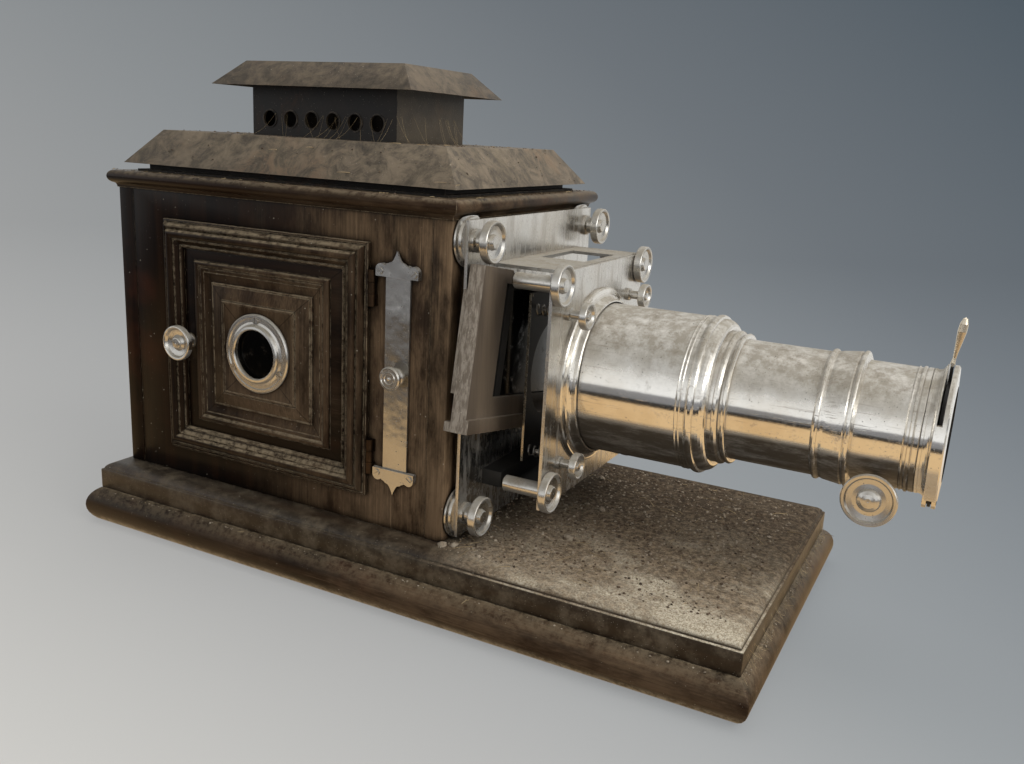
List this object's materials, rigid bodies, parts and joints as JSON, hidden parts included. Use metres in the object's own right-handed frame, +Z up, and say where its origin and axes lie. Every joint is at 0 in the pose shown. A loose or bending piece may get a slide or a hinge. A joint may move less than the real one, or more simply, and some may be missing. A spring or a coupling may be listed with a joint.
{
  "type": "magic lantern projector",
  "caption": "Wooden-cased magic lantern with a side door, sheet-iron chimney, sprung slide stage and a telescoping focusing lens.",
  "frame": {"origin": "middle of the baseboard's underside", "axes": "+X the way the light goes, -Y the side with the door, +Z up"},
  "size_m": [0.6045, 0.271, 0.359],
  "materials": {
    "mahogany": "old satin polish, worn and dusty",
    "dark_mahogany": "old satin polish",
    "carrier_wood": "bare, worn",
    "japanned_iron": "dark japanning, rusted and dusty",
    "nickel": "tarnished nickel plating",
    "spring_steel": "drawn wire",
    "brass": "tarnished",
    "blackened": "flat black",
    "tin_plate": "dull tinned sheet",
    "clear_glass": "polished",
    "smoked_glass": "dark, dusty"
  },
  "bodies": {
    "lantern": {"base_board": "mahogany", "base_step": "mahogany", "corner_posts": "mahogany", "side_near": "mahogany", "side_far": "mahogany", "front_board": "mahogany", "back_frame": "mahogany", "cornice": "mahogany", "hinge_fixed": "brass", "strip_keepers": "nickel", "rear_plate": "nickel", "rear_bosses": "nickel", "stage_sill": "dark_mahogany", "stage_top": "nickel", "stage_studs": "nickel", "front_plate": "nickel", "flange_screws": "nickel", "condenser_cell": "blackened", "condenser_lenses": "clear_glass", "lens_flange": "nickel", "main_tube": "nickel", "pressure_springs": "spring_steel"},
    "roof": {"roof": "japanned_iron", "roof_collar": "japanned_iron", "chimney": "japanned_iron", "chimney_cap": "japanned_iron"},
    "door": {"door_board": "dark_mahogany", "door_outer_moulding": "mahogany", "door_centre": "mahogany", "window_bezel": "nickel", "window_glass": "smoked_glass", "hinge_moving": "brass"},
    "door_latch": {"door_knob": "nickel", "door_catch": "brass"},
    "vent_slider": {"vent_strip": "nickel", "strip_knob": "nickel"},
    "carrier": {"carrier_frame": "carrier_wood"},
    "holder": {"slide_holder": "dark_mahogany", "slide_glass": "clear_glass"},
    "pressure": {"pressure_plate": "nickel"},
    "draw": {"draw_tube": "nickel", "lens_sleeve": "nickel", "pinion_housing": "nickel"},
    "focus": {"pinion_shaft": "nickel", "focus_knobs": "nickel"},
    "lens": {"lens_tube": "nickel", "lens_hood": "nickel", "objective_lenses": "clear_glass"},
    "flasher_arm": {"flasher": "nickel"},
    "lamp_drawer": {"lamp_tray": "tin_plate", "lamp": "brass"},
    "rear_thumb_nut_1": {"rear_nut_1": "nickel"},
    "front_thumb_nut_1": {"front_nut_1": "nickel"},
    "rear_thumb_nut_2": {"rear_nut_2": "nickel"},
    "front_thumb_nut_2": {"front_nut_2": "nickel"},
    "rear_thumb_nut_3": {"rear_nut_3": "nickel"},
    "front_thumb_nut_3": {"front_nut_3": "nickel"},
    "rear_thumb_nut_4": {"rear_nut_4": "nickel"},
    "front_thumb_nut_4": {"front_nut_4": "nickel"}
  },
  "joints": [
    {"name": "roof_lift", "type": "slide", "parent": "lantern", "child": "roof", "axis": [0, 0, 1], "range_m": [0, 0.06]},
    {"name": "door_hinge", "type": "hinge", "parent": "lantern", "child": "door", "pos_m": [-0.0121, -0.1066, 0.1565], "axis": [0, 0, 1], "range_deg": [0, 90]},
    {"name": "door_latch_turn", "type": "hinge", "parent": "door", "child": "door_latch", "pos_m": [-0.1731, -0.104, 0.1565], "axis": [0, -1, 0], "range_deg": [0, 90]},
    {"name": "vent_slide", "type": "slide", "parent": "lantern", "child": "vent_slider", "axis": [0, 0, 1], "range_m": [-0.007, 0.007]},
    {"name": "carrier_slide", "type": "slide", "parent": "lantern", "child": "carrier", "axis": [0, 0.9848, -0.1736], "range_m": [-0.15, 0]},
    {"name": "slide_shift", "type": "slide", "parent": "carrier", "child": "holder", "axis": [0, 0.9848, -0.1736], "range_m": [-0.011, 0.07]},
    {"name": "pressure_travel", "type": "slide", "parent": "lantern", "child": "pressure", "axis": [1, 0, 0], "range_m": [0, 0.006], "stiffness_N_per_m": 400, "springref_m": -0.005, "deforming": ["pressure_springs"]},
    {"name": "draw_tube_slide", "type": "slide", "parent": "lantern", "child": "draw", "axis": [1, 0, 0], "range_m": [-0.045, 0.03]},
    {"name": "focus_turn", "type": "hinge", "parent": "draw", "child": "focus", "pos_m": [0.30195, 0, 0.1157], "axis": [0, 1, 0], "range_deg": [0, 270]},
    {"name": "lens_slide", "type": "slide", "parent": "draw", "child": "lens", "axis": [1, 0, 0], "range_m": [0, 0.01979]},
    {"name": "flasher_swing", "type": "hinge", "parent": "lens", "child": "flasher_arm", "pos_m": [0.3333, 0, 0.1098], "axis": [-1, 0, 0], "range_deg": [0, 86]},
    {"name": "lamp_slide", "type": "slide", "parent": "lantern", "child": "lamp_drawer", "axis": [-1, 0, 0], "range_m": [0, 0.2]},
    {"name": "rear_nut_1_turn", "type": "hinge", "parent": "lantern", "child": "rear_thumb_nut_1", "pos_m": [0.0627, -0.087, 0.25], "axis": [1, 0, 0], "continuous": true},
    {"name": "front_nut_1_turn", "type": "hinge", "parent": "lantern", "child": "front_thumb_nut_1", "pos_m": [0.106, -0.072, 0.226], "axis": [1, 0, 0], "continuous": true},
    {"name": "rear_nut_2_turn", "type": "hinge", "parent": "lantern", "child": "rear_thumb_nut_2", "pos_m": [0.0627, 0.087, 0.25], "axis": [1, 0, 0], "continuous": true},
    {"name": "front_nut_2_turn", "type": "hinge", "parent": "lantern", "child": "front_thumb_nut_2", "pos_m": [0.106, 0.072, 0.226], "axis": [1, 0, 0], "continuous": true},
    {"name": "rear_nut_3_turn", "type": "hinge", "parent": "lantern", "child": "rear_thumb_nut_3", "pos_m": [0.0627, -0.087, 0.066], "axis": [1, 0, 0], "continuous": true},
    {"name": "front_nut_3_turn", "type": "hinge", "parent": "lantern", "child": "front_thumb_nut_3", "pos_m": [0.106, -0.072, 0.088], "axis": [1, 0, 0], "continuous": true},
    {"name": "rear_nut_4_turn", "type": "hinge", "parent": "lantern", "child": "rear_thumb_nut_4", "pos_m": [0.0627, 0.087, 0.066], "axis": [1, 0, 0], "continuous": true},
    {"name": "front_nut_4_turn", "type": "hinge", "parent": "lantern", "child": "front_thumb_nut_4", "pos_m": [0.106, 0.072, 0.088], "axis": [1, 0, 0], "continuous": true}
  ],
  "couplings": [
    {"joint": "focus_turn", "follows": "lens_slide", "rad_per_m": 238.1}
  ]
}
